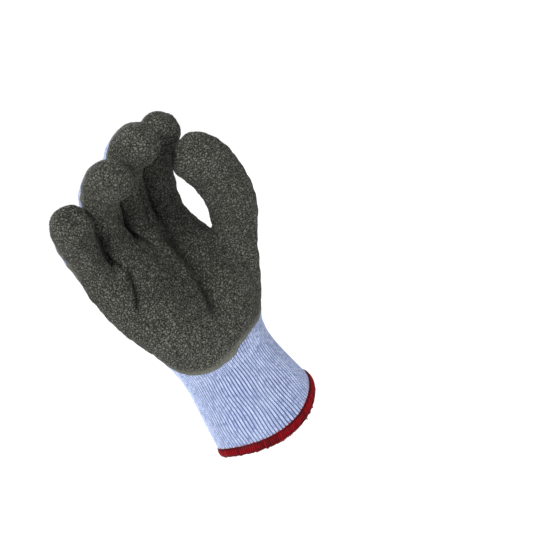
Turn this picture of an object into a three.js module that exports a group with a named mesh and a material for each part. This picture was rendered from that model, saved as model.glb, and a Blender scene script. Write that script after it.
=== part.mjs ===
// A right-hand work glove as a half-closed hand fills it: a seamless knitted liner with a
// long rib cuff, a latex coating on palm, thumb and fingers, and an overlocked hem.
// Millimetres. The origin is the middle of the cuff's mouth, +Z runs from the wrist to the
// fingers, the palm faces -Y and the thumb is on the +X side.
import * as THREE from "three";

// Driving sizes.
const cuffLength = 55; // mouth to the narrowest part of the wrist
const palmLength = 104; // wrist to the roots of the fingers
const hemWidth = 87;
const hemDepth = 67;
const hemDip = 12; // how far the mouth's front and back hang below its sides
const hemTilt = 9; // how much higher the mouth is on the thumb's side
const wristWidth = 71;
const wristDepth = 46;
const palmWidth = 95; // across the finger roots
const palmDepth = 32;
const knuckleSlope = 14; // how much lower the little finger's root is than the middle finger's
const thumbWidth = 33;
const thumbDepth = 28;
const thumbLength = 106;
const littleLength = 64;
const ringLength = 95;
const middleLength = 103;
const indexLength = 79;
const fingerWidth = 24;
const fingerDepth = 24;
const webSag = 2; // how far the web between two fingers hangs below their roots
const webCoat = 3; // how deep a web lies under the latex, measured from the latex's edge
const knitWall = 1.3;
const latexWall = 1;
const latexEdge = 0.5; // the coating thins out to this at its edge
const latexFade = 9; // over this width
const fitGap = 0.3; // between pieces that touch
const hemHeight = 6;
const hemWall = 1.2;

// The rings of the cuff and palm, from the mouth up. Heights are shares of the cuff's or the
// palm's length, widths and depths shares of those of the named size, and x and y shares of the
// palm's width and depth. square is the section's power: 2 is an ellipse, more is squarer.
const mainRows = [
  { part: "cuff", height: 0, size: "hem", x: 0, y: 0, width: 1, depth: 1, square: 2 },
  { part: "cuff", height: 0.42, size: "hem", x: -0.02, y: 0, width: 0.93, depth: 0.88, square: 2 },
  { part: "cuff", height: 1, size: "wrist", x: -0.03, y: 0, width: 1, depth: 1, square: 2.1 },
  { part: "palm", height: 0.17, size: "wrist", x: -0.03, y: -0.02, width: 1.1, depth: 1.06, square: 2.1 },
  { part: "palm", height: 0.32, size: "palm", x: 0, y: -0.16, width: 1.02, depth: 1.5, square: 2.3 },
  { part: "palm", height: 0.57, size: "palm", x: -0.03, y: -0.14, width: 1.18, depth: 1.35, square: 2.5 },
  { part: "palm", height: 0.82, size: "palm", x: -0.13, y: -0.04, width: 1.05, depth: 1.08, square: 2.8 },
  { part: "palm", height: 1, size: "palm", x: -0.18, y: 0, width: 1, depth: 1, square: 3 },
];
const thumbRows = [4, 6]; // the thumb leaves the palm between these two rings
const thumbColumn = 9; // round this column

// One row for each finger, from the little finger to the index. root is its share of the
// palm's width, and bones are shares of its length. For each bone, bends are degrees from the
// palm's plane and leans are degrees towards the thumb. twist turns the whole finger, and
// swell is its girth as a share of the named width and depth.
const fingers = [
  {
    name: "little", length: littleLength, root: 0.235, twist: 0, swell: 0.98,
    bones: [0.5, 0.25, 0.25], bends: [21, 40, 60], leans: [-12.3, -7, 6],
  },
  {
    name: "ring", length: ringLength, root: 0.255, twist: 3, swell: 1.02,
    bones: [0.46, 0.28, 0.26], bends: [23, 67, 95], leans: [-6.4, -8, -4],
  },
  {
    name: "middle", length: middleLength, root: 0.255, twist: 9, swell: 1.05,
    bones: [0.46, 0.28, 0.26], bends: [19, 64, 96], leans: [-5, -8, -4],
  },
  {
    name: "index", length: indexLength, root: 0.255, twist: 0, swell: 1,
    bones: [0.5, 0.26, 0.24], bends: [17, 38, 56], leans: [5, 25, 34],
  },
];
const thumb = {
  name: "thumb", length: thumbLength, twist: -40,
  bones: [0.4, 0.32, 0.28], bends: [46, 30, 20], leans: [49, 1, -28],
};

// The rings along every finger and the thumb: the bone, how far along it as a share of its
// length, the girths as shares of the named sizes, and how far round from the pad the latex
// reaches, in degrees.
const fingerRows = [
  { bone: 0, along: 0.36, girth: 0.8, thumbGirth: 0.82, coat: 98 },
  { bone: 0, along: 1, girth: 0.98, thumbGirth: 1.02, coat: 96 },
  { bone: 1, along: 1, girth: 1.04, thumbGirth: 1, coat: 112 },
  { bone: 2, along: 0.5, girth: 1.06, thumbGirth: 0.98, coat: 210 },
  { bone: 2, along: 0.86, girth: 0.8, thumbGirth: 0.76, coat: 250 },
];

// Where the latex ends: its lower rim's rise above the wrist at each angle round the hand, as
// a share of the palm's length, and how far round it reaches above that, in degrees.
const coatRims = [
  { angle: -122, rise: 0.4 },
  { angle: -100, rise: 0.22 },
  { angle: -82, rise: 0.12 },
  { angle: -45, rise: 0.04 },
  { angle: -12, rise: 0.04 },
  { angle: 27, rise: 0.13 },
  { angle: 62, rise: 0.16 },
  { angle: 110, rise: 0.3 },
];
const coatReach = { little: 104, thumb: 100 };
const thumbCoat = 20; // how much further it reaches round the thumb on the index's side

// Folds (depth above 0) and pads (below 0) of the palm, each a soft stroke between two places.
// A place is a share of the palm's width from the origin and of its length from the wrist,
// and width and depth are shares of the palm's depth.
const palmRelief = [
  { name: "thumb's crease", from: [0.1, 1.02], to: [0.02, 0.45], width: 0.34, depth: 0.12 },
  { name: "little finger's fold", from: [-0.43, 0.88], to: [-0.4, 0.55], width: 0.25, depth: 0.08 },
  { name: "ball of the thumb", from: [0.18, 0.25], to: [0.23, 0.48], width: 0.5, depth: -0.12 },
  { name: "heel", from: [-0.25, 0.25], to: [-0.32, 0.5], width: 0.45, depth: -0.08 },
  { name: "hollow of the palm", from: [-0.12, 0.62], to: [-0.16, 0.72], width: 0.5, depth: 0.12 },
  { name: "pad below the ring finger", from: [-0.3, 0.9], to: [-0.24, 0.93], width: 0.3, depth: -0.06 },
  { name: "pad below the middle finger", from: [-0.08, 0.93], to: [-0.02, 0.94], width: 0.3, depth: -0.05 },
];

const smoothing = 1; // rounds of Catmull-Clark subdivision
const columns = 20; // vertices round the palm: nine in front, nine behind and one at each side
const fingerSides = 8;
const sideShare = 0.93; // the outermost finger columns, as a share of the half width
const slopeStart = 0.15; // where the finger roots begin to slope down, as a share of the same
const slopeCurve = 1.5; // the power that the slope grows with
const webPinch = 0.72; // how far the palm's section draws in between two fingers
const knuckleStart = 0.3; // where the palm's section begins to turn into the fingers' roots
const reliefFacing = 0.6; // the relief is whole where the surface faces the palm's side this much
const { degToRad, lerp, smoothstep, clamp } = THREE.MathUtils;
// Subdivision draws a ring in by this much.
const ringShrink = (5 + 3 * Math.cos(degToRad(360 / fingerSides))) / 8;

// The cage: coarse vertices with their depth under the latex, and quads with their piece.
const cage = { points: [], quads: [] };

function addPoint(position, coat) {
  cage.points.push({ position, coat });
  return cage.points.length - 1;
}

function addBand(low, high, piece) {
  low.forEach((corner, i) => {
    const next = (i + 1) % low.length;
    cage.quads.push({ corners: [corner, low[next], high[next], high[i]], piece });
  });
}

// How far a point is inside the coated arc, along the surface. Angles are from its middle.
function arcDepth(angle, reachDown, reachUp, radius) {
  const turned = angle > 180 ? angle - 360 : angle;
  return degToRad(Math.min(turned + reachDown, reachUp - turned)) * radius;
}

// A value read from a table by angle, straight between its rows.
function rimRise(angle) {
  const upper = coatRims.findIndex((row) => row.angle >= angle);
  if (upper === 0) return coatRims[0].rise;
  if (upper < 0) return coatRims.at(-1).rise;
  const [a, b] = [coatRims[upper - 1], coatRims[upper]];
  return lerp(a.rise, b.rise, (angle - a.angle) / (b.angle - a.angle));
}

const rootEdges = fingers.reduce((edges, finger) => [...edges, edges.at(-1) + 2 * finger.root], [-1]);

// Where each column stands across the finger roots, from -1 to 1.
function rootShare(step) {
  const finger = Math.min(Math.floor(step / 2), fingers.length - 1);
  const share = lerp(rootEdges[finger], rootEdges[finger + 1], (step - 2 * finger) / 2);
  return clamp(share, -sideShare, sideShare);
}

const girths = {
  hem: [hemWidth, hemDepth],
  wrist: [wristWidth, wristDepth],
  palm: [palmWidth, palmDepth],
};

function mainRing(row) {
  const [width, depth] = [girths[row.size][0] * row.width, girths[row.size][1] * row.depth];
  const height = row.part === "cuff" ? row.height * cuffLength : cuffLength + row.height * palmLength;
  const knuckles = row.part === "palm" ? smoothstep(row.height, knuckleStart, 1) : 0;
  const dip = row.part === "cuff" ? (1 - row.height) * hemDip : 0;
  const tilt = row.part === "cuff" ? ((1 - row.height) * hemTilt) / 2 : 0;
  const ring = [];
  for (let column = 0; column < columns; column++) {
    const angle = -90 + (360 / columns) * column;
    const even = Math.sin(degToRad(angle));
    const side = column % (columns / 2) === 0;
    const step = angle < 90 ? column - 1 : columns - 1 - column;
    const share = side ? even : lerp(even, rootShare(step), knuckles);
    const bulge = side ? 0 : (1 - Math.abs(share) ** row.square) ** (1 / row.square);
    const web = !side && step % 2 === 0 && step > 0 && step < 2 * fingers.length;
    const pinch = web ? lerp(1, webPinch, knuckles ** 4) : 1;
    const slope = Math.max(0, (slopeStart - share) / (1 + slopeStart)) ** slopeCurve;
    const facing = Math.cos(degToRad(angle));
    const position = new THREE.Vector3(
      row.x * palmWidth + (width / 2) * share,
      row.y * palmDepth - (depth / 2) * bulge * pinch * Math.sign(facing),
      height - knuckles * knuckleSlope * slope + dip * (even ** 2 - 0.5) + tilt * even,
    );
    const rim = cuffLength + palmLength * rimRise(angle > 180 ? angle - 360 : angle);
    const around = arcDepth(angle, coatReach.little, coatReach.thumb, width / 2);
    ring.push(addPoint(position, Math.min(around, height - rim)));
  }
  return ring;
}

// Turns x across the finger, y out of its back and z along one of its bones.
function boneTurn(finger, bone) {
  const turn = (x, y, z, degrees) =>
    new THREE.Quaternion().setFromAxisAngle(new THREE.Vector3(x, y, z), degToRad(degrees));
  const lean = turn(0, 1, 0, finger.leans[bone]);
  return lean.multiply(turn(0, 0, 1, finger.twist)).multiply(turn(1, 0, 0, finger.bends[bone]));
}

function fingerRing(centre, facing, width, depth, row, extraReach) {
  const ring = [];
  for (let side = 0; side < fingerSides; side++) {
    const angle = -90 + (360 / fingerSides) * side;
    const offset = new THREE.Vector3(
      (width / 2 / ringShrink) * Math.sin(degToRad(angle)),
      (-depth / 2 / ringShrink) * Math.cos(degToRad(angle)),
      0,
    );
    const coat = arcDepth(angle, row.coat, row.coat + extraReach, width / 2);
    ring.push(addPoint(offset.applyQuaternion(facing).add(centre), coat));
  }
  return ring;
}

// The rings and the end of one finger, grown from a ring of eight cage vertices.
function addFinger(finger, root, start, width, depth, extraReach) {
  const joint = start.clone();
  let low = root;
  finger.bones.forEach((share, bone) => {
    const turn = boneTurn(finger, bone);
    const length = finger.length * share;
    const along = new THREE.Vector3(0, 0, 1).applyQuaternion(turn);
    for (const row of fingerRows.filter((r) => r.bone === bone)) {
      const centre = joint.clone().addScaledVector(along, length * row.along);
      const facing = row.along === 1 ? turn.clone().slerp(boneTurn(finger, bone + 1), 0.5) : turn;
      const girth = finger === thumb ? row.thumbGirth : row.girth;
      const high = fingerRing(centre, facing, width * girth, depth * girth, row, extraReach);
      addBand(low, high, finger === thumb && low === root ? "palm" : finger.name);
      low = high;
    }
    joint.addScaledVector(along, length);
  });
  const tip = addPoint(joint, width / 2);
  for (let side = 0; side < fingerSides; side += 2) {
    const corners = [tip, low[side], low[side + 1], low[(side + 2) % fingerSides]];
    cage.quads.push({ corners, piece: finger.name });
  }
}

function centreOf(ring, points) {
  const sum = new THREE.Vector3();
  ring.forEach((index) => sum.add(points[index].position));
  return sum.divideScalar(ring.length);
}

// The piece of the liner that a face between two main rings belongs to.
function handPiece(row, column) {
  if (mainRows[row + 1].part === "cuff") return "cuff";
  if (row < thumbRows[0]) return "heel";
  return column < columns / 2 ? "palm" : "back";
}

function buildCage() {
  const rings = mainRows.map(mainRing);
  rings.slice(1).forEach((high, i) => {
    const low = rings[i];
    const besideThumb = i >= thumbRows[0] && i < thumbRows[1];
    low.forEach((corner, column) => {
      if (besideThumb && (column === thumbColumn - 1 || column === thumbColumn)) return;
      const next = (column + 1) % columns;
      const corners = [corner, low[next], high[next], high[column]];
      cage.quads.push({ corners, piece: handPiece(i, column) });
    });
  });

  const top = rings.at(-1);
  const webs = [2, 4, 6].map((step) => {
    const [front, back] = [top[1 + step], top[columns - 1 - step]].map((i) => cage.points[i]);
    const middle = front.position.clone().add(back.position).multiplyScalar(0.5);
    middle.z -= webSag;
    return addPoint(middle, webCoat);
  });
  fingers.forEach((finger, i) => {
    const front = [0, 1, 2].map((k) => top[1 + 2 * i + k]);
    const back = [2, 1, 0].map((k) => top[columns - 1 - 2 * i - k]);
    const below = i === 0 ? top[0] : webs[i - 1];
    const above = i === fingers.length - 1 ? top[columns / 2] : webs[i];
    const root = [below, ...front, above, ...back];
    const [width, depth] = [fingerWidth, fingerDepth].map((size) => size * finger.swell);
    addFinger(finger, root, centreOf(root, cage.points), width, depth, 0);
  });

  const [low, high] = thumbRows.map((row) => rings[row]);
  const middle = rings[(thumbRows[0] + thumbRows[1]) / 2];
  const [front, side, back] = [thumbColumn - 1, thumbColumn, thumbColumn + 1];
  const root = [
    high[back], high[side], high[front], middle[front],
    low[front], low[side], low[back], middle[back],
  ];
  addFinger(thumb, root, centreOf(root, cage.points), thumbWidth, thumbDepth, thumbCoat);
}

// One round of Catmull-Clark subdivision, of positions and latex depths alike.
function subdivide({ points, quads }) {
  const mix = (parts) => {
    const sum = { position: new THREE.Vector3(), coat: 0 };
    for (const [point, weight] of parts) {
      sum.position.addScaledVector(point.position, weight);
      sum.coat += point.coat * weight;
    }
    return sum;
  };
  const facePoints = quads.map((quad) => mix(quad.corners.map((i) => [points[i], 1 / 4])));
  const edges = new Map();
  quads.forEach((quad, face) => {
    quad.corners.forEach((from, k) => {
      const to = quad.corners[(k + 1) % 4];
      const key = from < to ? `${from} ${to}` : `${to} ${from}`;
      if (!edges.has(key)) edges.set(key, { ends: [from, to], faces: [] });
      edges.get(key).faces.push(face);
    });
  });
  const around = points.map(() => ({ edges: [], faces: [] }));
  for (const edge of edges.values()) edge.ends.forEach((i) => around[i].edges.push(edge));
  quads.forEach((quad, face) => quad.corners.forEach((i) => around[i].faces.push(face)));

  const moved = points.map((point, i) => {
    const rim = around[i].edges.filter((edge) => edge.faces.length === 1);
    const other = (edge) => points[edge.ends[0] === i ? edge.ends[1] : edge.ends[0]];
    if (rim.length > 0) return mix([[point, 3 / 4], ...rim.map((edge) => [other(edge), 1 / 8])]);
    const n = around[i].edges.length;
    return mix([
      [point, (n - 2) / n],
      ...around[i].edges.map((edge) => [other(edge), 1 / n ** 2]),
      ...around[i].faces.map((face) => [facePoints[face], 1 / n ** 2]),
    ]);
  });
  const result = { points: [...moved, ...facePoints], quads: [] };
  for (const edge of edges.values()) {
    const ends = edge.ends.map((i) => points[i]);
    const inner = edge.faces.length === 2 ? edge.faces.map((face) => facePoints[face]) : [];
    const parts = [...ends, ...inner];
    edge.index = result.points.length;
    result.points.push(mix(parts.map((point) => [point, 1 / parts.length])));
  }
  quads.forEach((quad, face) => {
    const middles = quad.corners.map((from, k) => {
      const to = quad.corners[(k + 1) % 4];
      return edges.get(from < to ? `${from} ${to}` : `${to} ${from}`).index;
    });
    quad.corners.forEach((corner, k) => {
      const corners = [corner, middles[k], points.length + face, middles[(k + 3) % 4]];
      result.quads.push({ corners, piece: quad.piece });
    });
  });
  return result;
}

// Gives every point its normal, the mean of its faces' normals by area.
function addNormals({ points, quads }) {
  points.forEach((point) => (point.normal = new THREE.Vector3()));
  for (const { corners } of quads) {
    const [a, b, c, d] = corners.map((i) => points[i].position);
    const cross = c.clone().sub(a).cross(d.clone().sub(b));
    corners.forEach((i) => points[i].normal.add(cross));
  }
  points.forEach((point) => point.normal.normalize());
}

// Presses the folds into the palm and raises its pads.
function addRelief({ points }) {
  const place = ([x, z]) => new THREE.Vector2(x * palmWidth, cuffLength + z * palmLength);
  for (const { position, normal } of points) {
    const facing = smoothstep(-normal.y, 0, reliefFacing);
    const at = new THREE.Vector2(position.x, position.z);
    for (const { from, to, width, depth } of palmRelief) {
      const [start, along] = [place(from), place(to).sub(place(from))];
      const share = clamp(at.clone().sub(start).dot(along) / along.lengthSq(), 0, 1);
      const away = at.distanceTo(start.addScaledVector(along, share)) / (width * palmDepth);
      position.addScaledVector(normal, -facing * depth * palmDepth * Math.exp(-(away ** 2)));
    }
  }
}

// A closed wall between two offsets of a patch of triangles. outer and inner give each
// point's place on the two faces.
function wall(triangles, outer, inner) {
  const used = [...new Set(triangles.flat())];
  const place = new Map(used.map((index, i) => [index, i]));
  const positions = [...used.map(outer), ...used.map(inner)].flatMap((p) => p.toArray());
  const flip = used.length;
  const index = [];
  const open = new Map();
  for (const triangle of triangles) {
    const [a, b, c] = triangle.map((i) => place.get(i));
    index.push(a, b, c, c + flip, b + flip, a + flip);
    for (const [from, to] of [[a, b], [b, c], [c, a]]) {
      if (!open.delete(`${to} ${from}`)) open.set(`${from} ${to}`, [from, to]);
    }
  }
  for (const [from, to] of open.values()) {
    index.push(to, from, from + flip, to, from + flip, to + flip);
  }
  const geometry = new THREE.BufferGeometry();
  geometry.setAttribute("position", new THREE.Float32BufferAttribute(positions, 3));
  geometry.setIndex(index);
  geometry.computeVertexNormals();
  return geometry;
}

const trianglesOf = (quads) => quads.flatMap(({ corners: [a, b, c, d] }) => [[a, b, c], [a, c, d]]);

// One knitted piece: the faces with its name, drawn back a little from its neighbours.
function knitPiece(name) {
  const quads = surface.quads.filter((quad) => quad.piece === name);
  const inside = new Map();
  const edgeUse = new Map();
  for (const { corners } of quads) {
    const middle = centreOf(corners, surface.points);
    corners.forEach((from, k) => {
      const to = corners[(k + 1) % 4];
      const key = from < to ? `${from} ${to}` : `${to} ${from}`;
      edgeUse.set(key, (edgeUse.get(key) ?? 0) + 1);
      const way = middle.clone().sub(surface.points[from].position);
      inside.set(from, (inside.get(from) ?? new THREE.Vector3()).add(way));
    });
  }
  const rim = new Set();
  for (const [key, use] of edgeUse) {
    if (use === 1) key.split(" ").forEach((i) => rim.add(Number(i)));
  }
  const at = (depth) => (i) => {
    const { position, normal } = surface.points[i];
    const place = position.clone().addScaledVector(normal, -depth);
    if (rim.has(i)) place.addScaledVector(inside.get(i).normalize(), fitGap / 2);
    return place;
  };
  return wall(trianglesOf(quads), at(0), at(knitWall));
}

// The latex: the surface clipped where its depth under the coating is nothing, thin at the edge.
function coating() {
  const points = surface.points.map((point) => ({ ...point }));
  points.forEach((point) => {
    if (Math.abs(point.coat) < latexEdge) point.coat = 0;
  });
  const cuts = new Map();
  const cut = (from, to) => {
    const key = from < to ? `${from} ${to}` : `${to} ${from}`;
    if (!cuts.has(key)) {
      const [a, b] = [points[from], points[to]];
      const share = a.coat / (a.coat - b.coat);
      points.push({
        position: a.position.clone().lerp(b.position, share),
        normal: a.normal.clone().lerp(b.normal, share).normalize(),
        coat: 0,
      });
      cuts.set(key, points.length - 1);
    }
    return cuts.get(key);
  };
  const kept = [];
  for (const triangle of trianglesOf(surface.quads)) {
    if (triangle.every((i) => points[i].coat <= 0)) continue;
    const outline = triangle.flatMap((from, k) => {
      const to = triangle[(k + 1) % 3];
      const crossing = points[from].coat * points[to].coat < 0 ? [cut(from, to)] : [];
      return points[from].coat >= 0 ? [from, ...crossing] : crossing;
    });
    for (let k = 1; k + 1 < outline.length; k++) kept.push([outline[0], outline[k], outline[k + 1]]);
  }
  const at = (height) => (i) => {
    const { position, normal, coat } = points[i];
    return position.clone().addScaledVector(normal, height(coat));
  };
  const thickness = (coat) => lerp(latexEdge, latexWall, smoothstep(coat, 0, latexFade));
  return wall(kept, at((coat) => fitGap + thickness(coat)), at(() => fitGap));
}

// The binding's section: how far out of the knit's outer face and how far above its edge.
// Its upper lips are rounded off from the shoulders up.
const hemShoulder = hemHeight * 0.8;
const hemLip = hemWall * 0.7;
const hemSection = [
  { out: fitGap, up: -fitGap },
  { out: fitGap, up: hemHeight },
  { out: fitGap + hemLip, up: hemHeight },
  { out: fitGap + hemWall, up: hemShoulder },
  { out: fitGap + hemWall, up: 0 },
  { out: fitGap, up: -fitGap - hemWall },
  { out: -knitWall - fitGap, up: -fitGap - hemWall },
  { out: -knitWall - fitGap - hemWall, up: 0 },
  { out: -knitWall - fitGap - hemWall, up: hemShoulder },
  { out: -knitWall - fitGap - hemLip, up: hemHeight },
  { out: -knitWall - fitGap, up: hemHeight },
  { out: -knitWall - fitGap, up: -fitGap },
];

// The binding, carried round the open edge of the cuff.
function binding() {
  const directed = new Set();
  for (const { corners } of surface.quads) {
    corners.forEach((from, k) => directed.add(`${from} ${corners[(k + 1) % 4]}`));
  }
  const edge = new Map();
  const above = new Map();
  for (const pair of directed) {
    const [from, to] = pair.split(" ").map(Number);
    if (!directed.has(`${to} ${from}`)) edge.set(from, to);
  }
  for (const pair of directed) {
    const [from, to] = pair.split(" ").map(Number);
    if (edge.has(from) && !edge.has(to)) above.set(from, to);
  }
  const loop = [...edge.keys()].slice(0, 1);
  while (loop.length < edge.size) loop.push(edge.get(loop.at(-1)));
  const positions = loop.flatMap((index) => {
    const { position, normal } = surface.points[index];
    const rise = surface.points[above.get(index)].position.clone().sub(position).normalize();
    return hemSection.flatMap(({ out, up }) =>
      position.clone().addScaledVector(normal, out).addScaledVector(rise, up).toArray(),
    );
  });
  const sides = hemSection.length;
  const index = [];
  loop.forEach((_, i) => {
    const [here, there] = [i * sides, ((i + 1) % loop.length) * sides];
    for (let k = 0; k < sides; k++) {
      const after = (k + 1) % sides;
      index.push(here + k, there + after, there + k, here + k, here + after, there + after);
    }
  });
  const geometry = new THREE.BufferGeometry();
  geometry.setAttribute("position", new THREE.Float32BufferAttribute(positions, 3));
  geometry.setIndex(index);
  geometry.computeVertexNormals();
  return geometry;
}

buildCage();
let surface = cage;
for (let round = 0; round < smoothing; round++) surface = subdivide(surface);
addNormals(surface);
addRelief(surface);
addNormals(surface);

function mesh(name, geometry, colour, roughness) {
  const material = new THREE.MeshStandardMaterial({ color: colour, roughness, metalness: 0 });
  const piece = new THREE.Mesh(geometry, material);
  piece.name = name;
  return piece;
}

const glove = new THREE.Group();
const knitColour = 0xafc0e4;
glove.add(mesh("hem_binding", binding(), 0x8e0a1c, 0.85));
glove.add(mesh("rib_cuff", knitPiece("cuff"), knitColour, 0.9));
for (const name of ["heel", "palm", "back"]) {
  glove.add(mesh(`knit_${name}`, knitPiece(name), knitColour, 0.9));
}
for (const { name } of fingers) glove.add(mesh(`knit_${name}_finger`, knitPiece(name), knitColour, 0.9));
glove.add(mesh("knit_thumb", knitPiece("thumb"), knitColour, 0.9));
glove.add(mesh("latex_coating", coating(), 0x50504a, 0.55));
export default glove;
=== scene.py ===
# A knitted work glove with a crinkled latex coating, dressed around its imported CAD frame.
# Shapes are worked out in millimetres and every finished mesh is in metres.
import math

import bpy
import numpy as np
from mathutils import Matrix, Quaternion, Vector


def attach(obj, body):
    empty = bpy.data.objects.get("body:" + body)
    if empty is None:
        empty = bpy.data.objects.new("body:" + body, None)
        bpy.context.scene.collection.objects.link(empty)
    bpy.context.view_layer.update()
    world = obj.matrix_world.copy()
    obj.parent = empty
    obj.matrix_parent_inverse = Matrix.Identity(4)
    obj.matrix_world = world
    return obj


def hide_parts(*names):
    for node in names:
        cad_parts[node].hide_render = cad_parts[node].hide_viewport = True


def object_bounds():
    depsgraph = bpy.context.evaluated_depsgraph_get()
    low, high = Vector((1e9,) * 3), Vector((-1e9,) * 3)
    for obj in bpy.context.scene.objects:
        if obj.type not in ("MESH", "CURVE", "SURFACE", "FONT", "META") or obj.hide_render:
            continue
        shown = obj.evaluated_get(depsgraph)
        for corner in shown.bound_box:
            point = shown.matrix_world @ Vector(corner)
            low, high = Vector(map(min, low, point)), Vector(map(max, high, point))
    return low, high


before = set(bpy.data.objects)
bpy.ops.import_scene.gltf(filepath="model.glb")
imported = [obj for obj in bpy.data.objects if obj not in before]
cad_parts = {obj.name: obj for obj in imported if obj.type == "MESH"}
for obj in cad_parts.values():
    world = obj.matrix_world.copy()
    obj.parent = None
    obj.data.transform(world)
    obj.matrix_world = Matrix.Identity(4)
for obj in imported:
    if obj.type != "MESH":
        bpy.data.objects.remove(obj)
cadBounds = [list(corner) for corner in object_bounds()]
metre = 0.001
print("frame loaded")


# Rows of a table as dictionaries, by the names of its columns.
def table(names, *rows):
    return [dict(zip(names.split(), row)) for row in rows]


# The glove's form. These are the sizes that the CAD solids are made from.
form = {
    "cuffLength": 55,
    "palmLength": 104,
    "hemWidth": 87,
    "hemDepth": 67,
    "hemDip": 12,
    "hemTilt": 9,
    "wristWidth": 71,
    "wristDepth": 46,
    "palmWidth": 95,
    "palmDepth": 32,
    "knuckleSlope": 14,
    "thumbWidth": 33,
    "thumbDepth": 28,
    "fingerWidth": 24,
    "fingerDepth": 24,
    "webSag": 2,
    "webCoat": 3,
    "thumbCoat": 20,
    "sideShare": 0.93,
    "slopeStart": 0.15,
    "slopeCurve": 1.5,
    "webPinch": 0.72,
    "knuckleStart": 0.3,
    "reliefFacing": 0.6,
}
girths = {
    "hem": (form["hemWidth"], form["hemDepth"]),
    "wrist": (form["wristWidth"], form["wristDepth"]),
    "palm": (form["palmWidth"], form["palmDepth"]),
}
# Rings from the mouth to the finger roots, as shares of the named sizes.
mainRows = table(
    "part height size x y width depth square",
    ("cuff", 0, "hem", 0, 0, 1, 1, 2),
    ("cuff", 0.42, "hem", -0.02, 0, 0.93, 0.88, 2),
    ("cuff", 1, "wrist", -0.03, 0, 1, 1, 2.1),
    ("palm", 0.17, "wrist", -0.03, -0.02, 1.1, 1.06, 2.1),
    ("palm", 0.32, "palm", 0, -0.16, 1.02, 1.5, 2.3),
    ("palm", 0.57, "palm", -0.03, -0.14, 1.18, 1.35, 2.5),
    ("palm", 0.82, "palm", -0.13, -0.04, 1.05, 1.08, 2.8),
    ("palm", 1, "palm", -0.18, 0, 1, 1, 3),
)
thumbRows = (4, 6)
thumbColumn = 9
# Bends and leans are degrees for each bone, bones are shares of the length.
fingers = table(
    "name length root twist swell bones bends leans",
    ("little", 64, 0.235, 0, 0.98, (0.5, 0.25, 0.25), (21, 40, 60), (-12.3, -7, 6)),
    ("ring", 95, 0.255, 3, 1.02, (0.46, 0.28, 0.26), (23, 67, 95), (-6.4, -8, -4)),
    ("middle", 103, 0.255, 9, 1.05, (0.46, 0.28, 0.26), (19, 64, 96), (-5, -8, -4)),
    ("index", 79, 0.255, 0, 1, (0.5, 0.26, 0.24), (17, 38, 56), (5, 25, 34)),
)
thumb = {"name": "thumb", "length": 106, "twist": -40,
         "bones": (0.4, 0.32, 0.28), "bends": (46, 30, 20), "leans": (49, 1, -28)}
# Rings along each finger, with how far round from its pad the latex reaches in degrees.
fingerRows = table(
    "bone along girth thumbGirth coat",
    (0, 0.36, 0.8, 0.82, 98),
    (0, 1, 0.98, 1.02, 96),
    (1, 1, 1.04, 1, 112),
    (2, 0.5, 1.06, 0.98, 210),
    (2, 0.86, 0.8, 0.76, 250),
)
# The latex's lower rim: its rise above the wrist at each angle round the hand.
coatRims = [
    (-122, 0.4), (-100, 0.22), (-82, 0.12), (-45, 0.04), (-12, 0.04), (27, 0.13), (62, 0.16), (110, 0.3),
]
coatReach = {"little": 104, "thumb": 100}  # degrees round the hand, from the palm's middle
# Soft strokes on the palm, above 0 pressed in and below 0 raised, as shares of the palm's sizes.
palmRelief = table(
    "from to width depth",
    ((0.1, 1.02), (0.02, 0.45), 0.34, 0.12),
    ((-0.43, 0.88), (-0.4, 0.55), 0.25, 0.08),
    ((0.18, 0.25), (0.23, 0.48), 0.5, -0.12),
    ((-0.25, 0.25), (-0.32, 0.5), 0.45, -0.08),
    ((-0.12, 0.62), (-0.16, 0.72), 0.5, 0.12),
    ((-0.3, 0.9), (-0.24, 0.93), 0.3, -0.06),
    ((-0.08, 0.93), (-0.02, 0.94), 0.3, -0.05),
)
columns = 20
fingerSides = 8
ringShrink = (5 + 3 * math.cos(math.radians(360 / fingerSides))) / 8
tiny = 1e-9  # keeps a division clear of 0
cagePoints = []
cageQuads = []


def lerp(a, b, share):
    return a + (b - a) * share


# Vectors at length 1.
def unit(vectors):
    return vectors / np.maximum(np.linalg.norm(vectors, axis=-1, keepdims=True), tiny)


def smoothstep(value, low, high):
    share = np.clip((value - low) / (high - low), 0, 1)
    return share * share * (3 - 2 * share)


def addPoint(position, coat):
    cagePoints.append([*position, coat])
    return len(cagePoints) - 1


def addBand(low, high, piece):
    for i, corner in enumerate(low):
        after = (i + 1) % len(low)
        cageQuads.append({"corners": (corner, low[after], high[after], high[i]), "piece": piece})


# How far a place is inside the coated arc, along the surface.
def arcDepth(angle, reachDown, reachUp, radius):
    turned = angle - 360 if angle > 180 else angle
    return math.radians(min(turned + reachDown, reachUp - turned)) * radius


def rootShare(step):
    edges = [-1]
    for finger in fingers:
        edges.append(edges[-1] + 2 * finger["root"])
    finger = min(step // 2, len(fingers) - 1)
    share = lerp(edges[finger], edges[finger + 1], (step - 2 * finger) / 2)
    return max(-form["sideShare"], min(form["sideShare"], share))


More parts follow.
